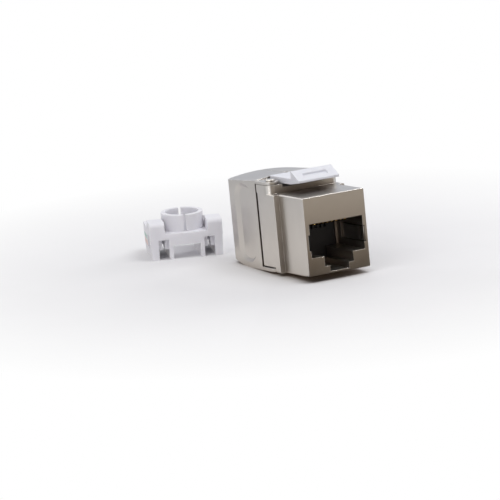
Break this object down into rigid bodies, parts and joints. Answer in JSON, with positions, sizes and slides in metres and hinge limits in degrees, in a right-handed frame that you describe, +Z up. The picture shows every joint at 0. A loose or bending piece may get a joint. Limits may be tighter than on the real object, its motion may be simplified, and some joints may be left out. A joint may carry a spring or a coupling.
{
  "type": "shielded toolless keystone jack",
  "caption": "Shielded modular jack for a keystone opening: die-cast body with a snap latch, two hinged rear wings, and its wire cap standing beside it.",
  "frame": {"origin": "centre of the nose's front face, where the plug goes in", "axes": "+X right seen from the plug side, +Y back into the jack, +Z up towards the snap latch"},
  "size_m": [0.029, 0.0528, 0.0214],
  "materials": {
    "nickel_plated_zinc": "satin nickel plating over die-cast zinc",
    "pin_steel": "bright nickel-plated rivet pins",
    "spring_steel": "bright rolled spring strip",
    "latch_plastic": "white moulded nylon with a fine grain",
    "cap_plastic": "white moulded polycarbonate",
    "insert_plastic": "black moulded plastic",
    "block_plastic": "white moulded plastic",
    "circuit_board": "green solder resist on glass-fibre board",
    "gold_contacts": "gold-plated spring wire",
    "tinned_terminals": "tinned bronze strip"
  },
  "bodies": {
    "housing": {"front_housing": "nickel_plated_zinc", "jack_insert": "insert_plastic", "circuit_board": "circuit_board", "connecting_block": "block_plastic", "contact_1": "gold_contacts", "contact_2": "gold_contacts", "contact_3": "gold_contacts", "contact_4": "gold_contacts", "contact_5": "gold_contacts", "contact_6": "gold_contacts", "contact_7": "gold_contacts", "contact_8": "gold_contacts", "idc_terminal_1": "tinned_terminals", "idc_terminal_2": "tinned_terminals", "idc_terminal_3": "tinned_terminals", "idc_terminal_4": "tinned_terminals", "idc_terminal_5": "tinned_terminals", "idc_terminal_6": "tinned_terminals", "idc_terminal_7": "tinned_terminals", "idc_terminal_8": "tinned_terminals", "left_shield_spring": "spring_steel", "right_shield_spring": "spring_steel", "left_upper_hinge_pin": "pin_steel", "left_lower_hinge_pin": "pin_steel", "right_upper_hinge_pin": "pin_steel", "right_lower_hinge_pin": "pin_steel", "wire_cap": "cap_plastic"},
    "left_wing": {"left_wing": "nickel_plated_zinc"},
    "right_wing": {"right_wing": "nickel_plated_zinc"},
    "latch": {"latch_clip": "latch_plastic"}
  },
  "joints": [
    {"name": "left_wing_hinge", "type": "hinge", "parent": "housing", "child": "left_wing", "pos_m": [-0.0067, 0.0133, 0], "axis": [0, 0, 1], "range_deg": [0, 90]},
    {"name": "right_wing_hinge", "type": "hinge", "parent": "housing", "child": "right_wing", "pos_m": [0.0067, 0.0133, 0], "axis": [0, 0, -1], "range_deg": [0, 90]},
    {"name": "latch_hinge", "type": "hinge", "parent": "housing", "child": "latch", "pos_m": [0, 0.01575, 0.009], "axis": [1, 0, 0], "range_deg": [0, 6], "stiffness_Nm_per_rad": 0.1}
  ]
}
